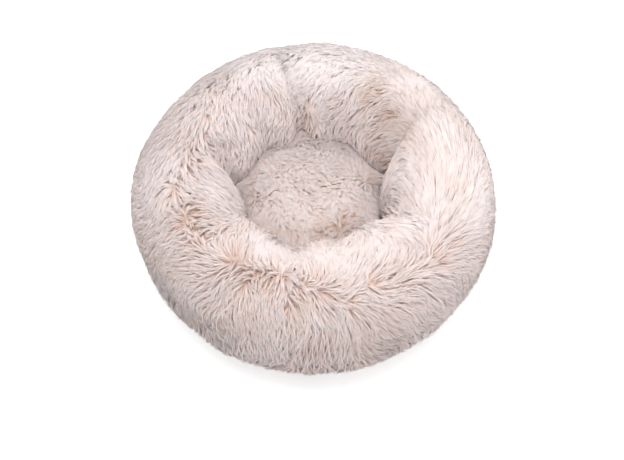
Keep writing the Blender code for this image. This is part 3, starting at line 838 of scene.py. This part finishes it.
def cushion_fur(rings=3):
    """Strands of the cushion, which lie in locks over its top and fall over its side."""
    roots = cushion_roots(cushion_lock_spacing)
    count = len(roots)
    radius = np.hypot(roots[:, 0], roots[:, 1])
    outward = unit(cushion_shell(roots, 0.0) - cushion_shell(roots, 0.012))
    outward[:, :2] *= radius[:, None] / 0.1
    outward = unit(outward)
    angle = -1.9 + 1.1 * cushion_turn(roots[:, 0] * 24, roots[:, 1] * 1.3) + rng.normal(0, 0.32, count)
    edge = smooth_step((radius - 0.080) / 0.022)[:, None]
    falling = unit(roots * np.array([1, 1, 0]) + 1e-9) * 0.5 + np.array([0, 0, -0.8])
    heading = polar(1.0, angle, 0.0) * (1 - 0.8 * edge) + falling * 0.8 * edge
    heading = unit(heading - outward * np.sum(heading * outward, -1, keepdims=True))
    reach = rng.uniform(*cushion_reaches, count)
    height = np.clip(rng.normal(cushion_height, cushion_height_scatter, count), *cushion_heights)
    tone = cushion_middle_tone + 0.14 * tone_wave(angle, roots[:, 1] * 30) + rng.normal(0, 0.05, count)
    for patch_x, patch_y, size, strength in cushion_patches:
        apart = np.hypot(roots[:, 0] - patch_x, roots[:, 1] - patch_y)
        tone -= strength * np.exp(-0.5 * (apart / size) ** 2)

    which = np.repeat(np.arange(count), cushion_lock_strands)
    total = len(which)
    side = np.cross(outward, heading)[which]
    heading = heading[which]
    offsets = rng.normal(0, 0.40 * cushion_lock_spacing, total)[:, None] * side
    offsets = offsets + rng.normal(0, 0.40 * cushion_lock_spacing, total)[:, None] * heading
    tightness = rng.uniform(0.30, 0.60, total)
    core = np.tile(np.arange(cushion_lock_strands) == 0, count)
    offsets[core] = 0
    reach = reach[which] * rng.uniform(0.85, 1.1, total)
    height = height[which] * rng.uniform(0.88, 1.04, total)
    curl = rng.normal(0, 0.26, count)[which] + rng.normal(0, 0.1, total)
    lowest = rng.uniform(*seam_overlaps, count)[which]
    paths = np.empty((total, rings + 1, 3))
    for step, share in enumerate(np.linspace(0, 1, rings + 1)):
        gathering = (1 - tightness * smooth_step(share / 0.6))[:, None]
        bend = curl * share
        run = reach * (share**1.1 - 0.28)
        moved = roots[which] + offsets * gathering
        moved = moved + (np.cos(bend) * run)[:, None] * heading + (np.sin(bend) * run)[:, None] * side
        moved[:, 2] = np.maximum(moved[:, 2], lowest)
        rise = height * math.sin(math.pi / 2 * min(1, 1.15 * share) ** 0.8) - cushion_root_depth
        fall = cushion_fall * math.sin(math.pi / 2 * share) * edge[which, 0]
        paths[:, step] = cushion_shell(moved, cushion_skin_inset - rise - fall)
    core_width = rng.uniform(*cushion_core_widths, total)
    fine_width = rng.uniform(*cushion_fine_widths, total)
    facing = unit(outward + np.array([0, 0, 0.9]))[which]
    tone = tone[which] + rng.normal(0, 0.05, total)
    even, start = np.full(total, cushion_evenness), np.full(total, cushion_pale_from)
    return paths + cushion_centre, np.where(core, core_width, fine_width), facing, tone, even, start


def cushion_backing():
    columns, rows = 120, 30
    azimuth = (np.arange(columns) * math.tau / columns)[:, None]
    sections = []
    for inset, order in ((cushion_skin_inset, 1), (cushion_skin_back_inset, -1)):
        angle = np.linspace(0.02, math.pi / 2 - 0.02, rows)[None, ::order]
        sections.append(cushion_shell(polar(np.cos(angle), azimuth, np.sin(angle) * 0.5), inset))
    return section_mesh("cushion_backing", np.concatenate(sections, 1) + cushion_centre, backing)


pile = cushion_fur()
roots = pile[0][:, 0, :2]
right, rear = (roots > np.median(roots, axis=0)).T
for number, inside in enumerate((rear & right, rear & ~right, ~rear & ~right, ~rear & right)):
    pile_piece(f"cushion_pile_{number + 1:02d}", "cushion", "cushion_cover_top", pile, inside)
sewn(cushion_backing(), "cushion", "plush", "cushion_cover_top")

# Waves of the cloth and of the fibre
lump_wave = waves(22, 16, 16)
fine_wave = waves(22, 60, 60)

# Underside: woven sheet with grip dots, in a bound seam
seam_radius = 0.245393
binding_width, binding_height, binding_lift, tape_fold = 0.0090, 0.0116, 0.0006, 0.0009
binding_gap = 0.0003
sheet_radius = seam_radius - binding_width / 2 - binding_gap
sheet_low, sheet_high = 0.0008, 0.0019
dot_pitch, dot_margin = 0.0105, 0.010
dot_radii, dot_heights = (0.0018, 0.0015, 0.0008), (0.0009, 0.00028, 0.0)


def puckered(points):
    """Cloth drawn into small folds beside its seam."""
    azimuth = np.arctan2(points[..., 1], points[..., 0])
    flat = np.hypot(points[..., 0], points[..., 1]) / sheet_radius
    folds = 0.00016 * np.sin(96 * azimuth + 2 * fine_wave(azimuth, flat)) * np.exp(-(1 - flat) / 0.06)
    swell = 0.00012 * lump_wave(azimuth, flat)
    points[..., 2] += folds + swell * np.clip(flat * 3, 0, 1)
    return points


def base_cloth():
    rows = np.linspace(0.02, 1, 40) * sheet_radius
    profile = [(r, sheet_low) for r in rows] + [(r, sheet_high) for r in rows[::-1]]
    return revolved("base_cloth", profile, (sheet_low, sheet_high), base_weave, 0.0, 288, puckered)


def grip_dots():
    """Moulded dots in staggered rows, which lift the cloth clear of the floor."""
    reach = int(sheet_radius / dot_pitch) + 2
    column, row = np.meshgrid(np.arange(-reach, reach + 1), np.arange(-reach, reach + 1))
    x, y = (column + 0.5 * (row % 2)) * dot_pitch, row * dot_pitch * 0.866
    inside = np.hypot(x, y) < sheet_radius - dot_margin
    centres = np.stack([x[inside], y[inside], 0 * x[inside]], -1)
    sides = 10
    angle = np.arange(sides) * math.tau / sides
    rings = [polar(radius, angle, height) for radius, height in zip(dot_radii, dot_heights)]
    points = centres[:, None, None] + np.stack(rings)
    index = np.arange(len(centres) * 3 * sides).reshape(len(centres), 3, sides)
    ends = np.concatenate([index[:, 0], index[:, -1, ::-1]])
    faces = [walls(index[:, :-1], index[:, 1:], 2), ends]
    return array_mesh("base_dots", points.reshape(-1, 3), faces, rubber)


def binding_tape():
    """Tape folded round the raw edges of the bottom seam, which go in between its lips."""
    columns, rows = 360, 30
    azimuth = np.arange(columns)[:, None] * math.tau / columns
    lips = 0.06
    angle = np.linspace(math.pi / 2 + lips, 2.5 * math.pi - lips, rows)[None]
    across = np.sign(np.cos(angle)) * np.abs(np.cos(angle)) ** 0.55
    up = np.sign(np.sin(angle)) * np.abs(np.sin(angle)) ** 0.45
    ripple = 1 - 0.035 * (1 + np.sin(120 * azimuth + 3 * fine_wave(azimuth, 0)))
    swell = 0.97 + 0.01 * lump_wave(azimuth, 0)
    faces = []
    for thinner in (0, tape_fold):
        radius = seam_radius + (binding_width / 2 - thinner) * across * ripple
        height = binding_lift + binding_height / 2 + (binding_height / 2 - thinner) * up * swell
        faces.append(polar(radius, azimuth, height))
    return section_mesh("binding_tape", np.concatenate([faces[0], faces[1][:, ::-1]], 1), tape_weave)


def stitches(name, azimuths, length, points_at, outward, radius):
    """Row of stitches; points_at gives the place for an azimuth and a rise above the cloth."""
    share = np.linspace(0, 1, 6)
    rise = 0.0004 * np.sin(math.pi * share) ** 0.6 - 0.00015
    azimuth = azimuths[:, None] + (share[None] - 0.5) * length
    paths = points_at(azimuth, np.broadcast_to(rise, azimuth.shape))
    radii = np.broadcast_to(radius * (0.6 + 0.4 * np.sin(math.pi * share) ** 0.5), azimuth.shape)
    return tubes(name, paths, radii, outward(azimuth), 6, thread)


def beside_binding(side):
    def place(azimuth, rise):
        return polar(seam_radius + side * (binding_width / 2 - 0.0003 + rise), azimuth, binding_stitch_height)
    return place


def radial(azimuth):
    return polar(1.0, azimuth, 0.0)


cloth = sewn(base_cloth(), "bed", "base_fabric", "base_sheet")
sewn(grip_dots(), "bed", "base_fabric", "base_sheet")
tape = sewn(binding_tape(), "bed", "binding", "base_binding")
binding_stitch_height = 0.0078
round_stitches = np.arange(380) * math.tau / 380
for name, side in (("outer", 1), ("inner", -1)):
    row = stitches(f"binding_stitches_{name}", round_stitches, 0.0135, beside_binding(side), radial, 0.00028)
    sewn(row, "bed", "binding", "base_binding")

# Wadding and floor of the well
floor_radius, floor_shift = 0.15857, 0.01019
pad_low, pad_high, pad_corner = 0.0024, 0.0242, 0.008
well_low, well_high, well_corner = 0.0248, 0.0264, 0.0006
lump_size = 0.0012


def disc_profile(low, high, corner):
    """Flat round body with rounded edges, as wide as the well's floor."""
    rows = np.linspace(0.03, 1, 26) * (floor_radius - corner)
    turn = np.linspace(-math.pi / 2, math.pi / 2, 9)[1:-1]
    middle, half = (low + high) / 2, (high - low) / 2
    rim = [(floor_radius - corner + corner * math.cos(t), middle + half * math.sin(t)) for t in turn]
    return [(r, low) for r in rows] + rim + [(r, high) for r in rows[::-1]]


def lofty(points):
    """Soft lumps, only ever inwards from the drawn shape."""
    azimuth = np.arctan2(points[..., 1], points[..., 0])
    flat = np.hypot(points[..., 0], points[..., 1])
    lumps = 0.5 + 0.5 * np.tanh(lump_wave(azimuth, flat * 9) + 0.5 * fine_wave(azimuth, flat * 9))
    points[..., :2] *= (1 - lump_size * lumps / 0.15)[..., None]
    return points


def floor_disc(name, low, high, corner, material, warp=None):
    return revolved(name, disc_profile(low, high, corner), (low, high), material, floor_shift, 200, warp)


pad = floor_disc("base_wadding", pad_low, pad_high, pad_corner, wadding, lofty)
sewn(pad, "bed", "fibre", "base_pad")
cloth = floor_disc("well_cloth", well_low, well_high, well_corner, base_weave)
sewn(cloth, "bed", "base_fabric", "well_floor")

# Liner and fibre of the ring: how far they lie inside the drawn shape, and above the floor
liner_inset, liner_back_inset, fibre_inset = 0.0226, 0.0238, 0.0246
liner_underside, liner_back_underside, fibre_underside = 0.0023, 0.0035, 0.0040


def ring_grid(turns, columns=240):
    """Azimuths and turns of a grid that goes round the ring."""
    return np.broadcast_arrays(np.arange(columns)[:, None] * math.tau / columns, turns[None])


def liner_bag():
    slit = math.radians(1.1)
    azimuth, turns = ring_grid(np.linspace(-math.pi / 2 + slit, 1.5 * math.pi - slit, 72))
    wrinkle = 0.00015 * (1 + np.clip(fine_wave(azimuth, turns), -1, 1))
    outer = ring_point(azimuth, turns, liner_inset + wrinkle, liner_underside)
    inner = ring_point(azimuth, turns, liner_back_inset + wrinkle, liner_back_underside)
    return section_mesh("bolster_bag", np.concatenate([outer, inner[:, ::-1]], 1), lining)


def fibre_ring():
    azimuth, turns = ring_grid(np.arange(72) * math.tau / 72 - math.pi / 2)
    lumps = 0.0011 * (1 + np.tanh(lump_wave(azimuth, turns) + 0.5 * fine_wave(azimuth, turns)))
    points = ring_point(azimuth, turns, fibre_inset + lumps, fibre_underside)
    return section_mesh("bolster_fibre", points, wadding)


bag = sewn(liner_bag(), "bed", "lining", "bolster_liner")
sewn(fibre_ring(), "bed", "fibre", "bolster_filling")

# Cushion below its seam, and its fibre
cushion_bottom, seam_gap, under_thickness = 0.0269, 0.00015, 0.002
fibre_gap_below, fibre_gap_above = 0.0028, 0.0212
belly_fullness, crown_fullness = 3.2, 2.5
seam_level = cushion_seam - seam_gap


def dome(radius, rise, fullness, rows):
    """Radii and heights of a full dome from its rim to near its pole, drawn in at its seam."""
    angle = np.linspace(0, math.pi / 2 - 0.04, rows)
    across = radius * np.cos(angle) ** (2 / fullness)
    up = rise * np.sin(angle) ** (2 / fullness)
    return across - 0.0030 * np.exp(-up / 0.0080), up


def swollen(points):
    """Swells a round body into the gathers of the ring, with small folds at its seam."""
    azimuth = np.arctan2(points[..., 1], points[..., 0])
    flat = np.hypot(points[..., 0], points[..., 1]) / cushion_radius
    folds = 1 + 0.004 * np.sin(64 * azimuth + 2 * fine_wave(azimuth, 0)) * np.exp(-(1 - flat) / 0.10)
    points[..., :2] *= (cushion_reach(azimuth) / cushion_radius * folds)[..., None]
    return points


def cushion_underside():
    drop = cushion_seam - cushion_bottom - seam_gap
    across, up = dome(cushion_radius, drop, belly_fullness, 26)
    inside, rise = dome(cushion_radius - under_thickness, drop - under_thickness, belly_fullness, 26)
    profile = list(zip(across[::-1], seam_level - up[::-1])) + list(zip(inside, seam_level - rise))
    poles = (seam_level - drop, seam_level - drop + under_thickness)
    return revolved("cushion_underside", profile, poles, base_weave, well_shift, 240, swollen)


def cushion_fibre():
    drop, rise = cushion_seam - cushion_bottom - fibre_gap_below, cushion_rise - fibre_gap_above
    low_radii, depths = dome(cushion_radius - fibre_gap_below, drop, belly_fullness, 22)
    high_radii, heights = dome(cushion_radius - fibre_gap_above, rise, crown_fullness, 22)
    profile = list(zip(low_radii[::-1], seam_level - depths[::-1]))
    profile += list(zip(high_radii, seam_level + heights))
    poles = (seam_level - drop, seam_level + rise)

    def warp(points):
        return lofty(swollen(points))
    return revolved("cushion_fibre", profile, poles, wadding, well_shift, 200, warp)


under = sewn(cushion_underside(), "cushion", "base_fabric", "cushion_cover_bottom")
sewn(cushion_fibre(), "cushion", "fibre", "cushion_filling")

# Zip: places along its slope, from the binding up
zip_slope = math.radians(46)
zip_start, zip_end = math.radians(20), math.radians(160)
zip_foot_radius, zip_tape_radius, zip_coil_radius = 0.247643, 0.255, 0.258
tape_width, tape_thickness, coil_height, slot_half = 0.0135, 0.0008, 0.0024, 0.0003
zip_middle = 0.0165
stop_angle = 0.0043 / zip_foot_radius
# Side, lower edge of the tape, lower and upper edge of the coil, place of the seam
zip_rows = (
    ("lower", 0.0003, 0.0141, zip_middle - slot_half, 0.0129),
    ("upper", 0.0192, zip_middle + slot_half, 0.0189, 0.0201),
)


def zip_point(azimuth, along, out):
    """Place on the zip's slope: along it from the binding up, and out from its middle surface."""
    azimuth, along, out = np.broadcast_arrays(azimuth, along, out)
    radius = zip_foot_radius + along * math.cos(zip_slope) + out * math.sin(zip_slope)
    height = cover_edge + along * math.sin(zip_slope) - out * math.cos(zip_slope)
    return polar(radius, azimuth, height)


def zip_tape(name, low):
    """Woven tape with a cord along the edge that carries the teeth."""
    columns, across = 300, 15
    azimuth = np.linspace(zip_start, zip_end, columns)[:, None]
    place = low + tape_width * np.linspace(0, 1, across)
    half = tape_thickness / 2 * (0.8 + 0.2 * np.exp(-(((place - zip_middle) / 0.0035) ** 2)))
    along = np.concatenate([place[::-1], place])[None]
    out = np.concatenate([half[::-1], -half])[None]
    points = zip_point(azimuth, along, out)
    places = np.stack([azimuth * zip_tape_radius + 0 * along, along + 0 * azimuth], -1).reshape(-1, 2)
    return strip_mesh(name, points, zip_weave, places)


def zip_coil(name, low, high):
    """Nylon coil: one long flattened spiral of wire."""
    wire, pitch, per_turn = 0.00034, 0.00142, 12
    start, end = zip_start + stop_angle, zip_end - stop_angle
    turns = int((end - start) * zip_coil_radius / pitch)
    angle = np.linspace(0, math.tau * turns, turns * per_turn + 1)
    azimuth = start + (end - start) * angle / angle[-1]
    middle, reach, rise = (low + high) / 2, (high - low) / 2 - wire, coil_height / 2 - wire
    along = middle + reach * np.sign(np.cos(angle)) * np.abs(np.cos(angle)) ** 0.75
    out = rise * np.sign(np.sin(angle)) * np.abs(np.sin(angle)) ** 0.75
    path = zip_point(azimuth, along, out)
    facing = np.stack([-np.sin(azimuth), np.cos(azimuth), 0 * azimuth], -1)
    return tubes(name, path[None], np.full((1, len(angle)), wire), facing[None], 6, nylon)


def along_zip(place):
    def points_at(azimuth, rise):
        return zip_point(azimuth, place, tape_thickness / 2 - 0.0002 + rise)
    return points_at


def off_zip(azimuth):
    return zip_point(azimuth, 0, 1) - zip_point(azimuth, 0, 0)


for side, tape_low, coil_low, coil_high, seam_place in zip_rows:
    strip = sewn(zip_tape(f"zip_cloth_{side}", tape_low), "bed", "zip_tape", f"zip_tape_{side}")
    sewn(zip_coil(f"zip_spiral_{side}", coil_low, coil_high), "bed", "zip_coil", f"zip_coil_{side}")
    places = np.arange(zip_start + 0.006, zip_end - 0.004, 0.0088)
    row = stitches(f"zip_stitches_{side}", places, 0.0066, along_zip(seam_place), off_zip, 0.00016)
    sewn(row, "bed", "zip_tape", f"zip_tape_{side}")

for node in ("zip_bottom_stop", "zip_top_stop_lower", "zip_top_stop_upper", "zip_slider", "zip_pull"):
    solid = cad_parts[node]
    solid.data.materials.clear()
    solid.data.materials.append(metal)
    edges = solid.modifiers.new("worn_edges", "BEVEL")
    edges.width = 0.00016
    edges.segments = 2
    edges.limit_method = "ANGLE"
    edges.angle_limit = math.radians(40)

# Stage: the camera as it was fitted to the photograph, in pixels of it where that is said
photo_width_pixels, bed_width_pixels, shift_x_pixels = 624, 362, -1
camera_elevation, camera_distance, camera_shift_y = math.radians(56), 1.4, -0.0561
world_strength = 0.755
# Name, place, size and power of each lamp
lamps = (("key", (-0.04, 0.0, 1.6), 1.1, 12.3), ("fill", (1.3, 0.05, 0.6), 1.2, 2.6))
lamp_target = (0, 0, 0.1)


def add_camera(scene):
    camera = bpy.data.objects.new("camera", bpy.data.cameras.new("camera"))
    scene.collection.objects.link(camera)
    target = Vector((0, 0, bed_height / 2))
    direction = Vector((0, -math.cos(camera_elevation), math.sin(camera_elevation)))
    camera.location = target + direction * camera_distance
    camera.rotation_euler = (target - camera.location).to_track_quat("-Z", "Y").to_euler()
    lens = camera.data
    lens.sensor_width = 36
    lens.lens = lens.sensor_width * (bed_width_pixels / photo_width_pixels) / (bed_width / camera_distance)
    lens.shift_x = shift_x_pixels / photo_width_pixels
    lens.shift_y = camera_shift_y
    scene.camera = camera


def add_world(scene):
    """White where the camera, a gloss or a glass sees it, and less strong as light."""
    world = bpy.data.worlds.new("studio")
    world.use_nodes = True
    scene.world = world
    tree = world.node_tree
    background = tree.nodes["Background"]
    rays = tree.nodes.new("ShaderNodeLightPath").outputs
    seen = maths(tree, "MAXIMUM", rays["Is Camera Ray"], rays["Is Glossy Ray"])
    seen = maths(tree, "MAXIMUM", seen, rays["Is Transmission Ray"])
    background.inputs["Color"].default_value = (1, 1, 1, 1)
    tree.links.new(mapped(tree, seen, (0.0, 1.0), (world_strength, 1.0)), background.inputs["Strength"])


def add_lamps(scene):
    for name, place, size, power in lamps:
        lamp = bpy.data.lights.new(name, "AREA")
        lamp.size = size
        lamp.energy = power
        light = bpy.data.objects.new(name, lamp)
        light.location = place
        light.rotation_euler = (Vector(lamp_target) - Vector(place)).to_track_quat("-Z", "Y").to_euler()
        scene.collection.objects.link(light)


def add_floor():
    """Pale floor that keeps the bed's shadow, lifted to white where the camera sees it."""
    bpy.ops.mesh.primitive_plane_add(size=6, location=(0, 0, -0.0002))
    floor = bpy.context.object
    floor.name = "floor"
    paint, tree, shader = new_material("floor_paint", 0.9)
    shader.inputs["Base Color"].default_value = (0.82, 0.82, 0.82, 1)
    shader.inputs["Specular IOR Level"].default_value = 0.1
    glow = tree.nodes.new("ShaderNodeEmission")
    seen = tree.nodes.new("ShaderNodeLightPath").outputs["Is Camera Ray"]
    tree.links.new(maths(tree, "MULTIPLY", seen, 0.5), glow.inputs["Strength"])
    both = tree.nodes.new("ShaderNodeAddShader")
    tree.links.new(shader.outputs[0], both.inputs[0])
    tree.links.new(glow.outputs[0], both.inputs[1])
    tree.links.new(both.outputs[0], tree.nodes["Material Output"].inputs["Surface"])
    floor.data.materials.append(paint)


scene = bpy.context.scene
scene.view_settings.view_transform = "Standard"
scene.cycles.diffuse_bounces = 10
scene.cycles.max_bounces = 14
add_camera(scene)
add_world(scene)
add_lamps(scene)
add_floor()
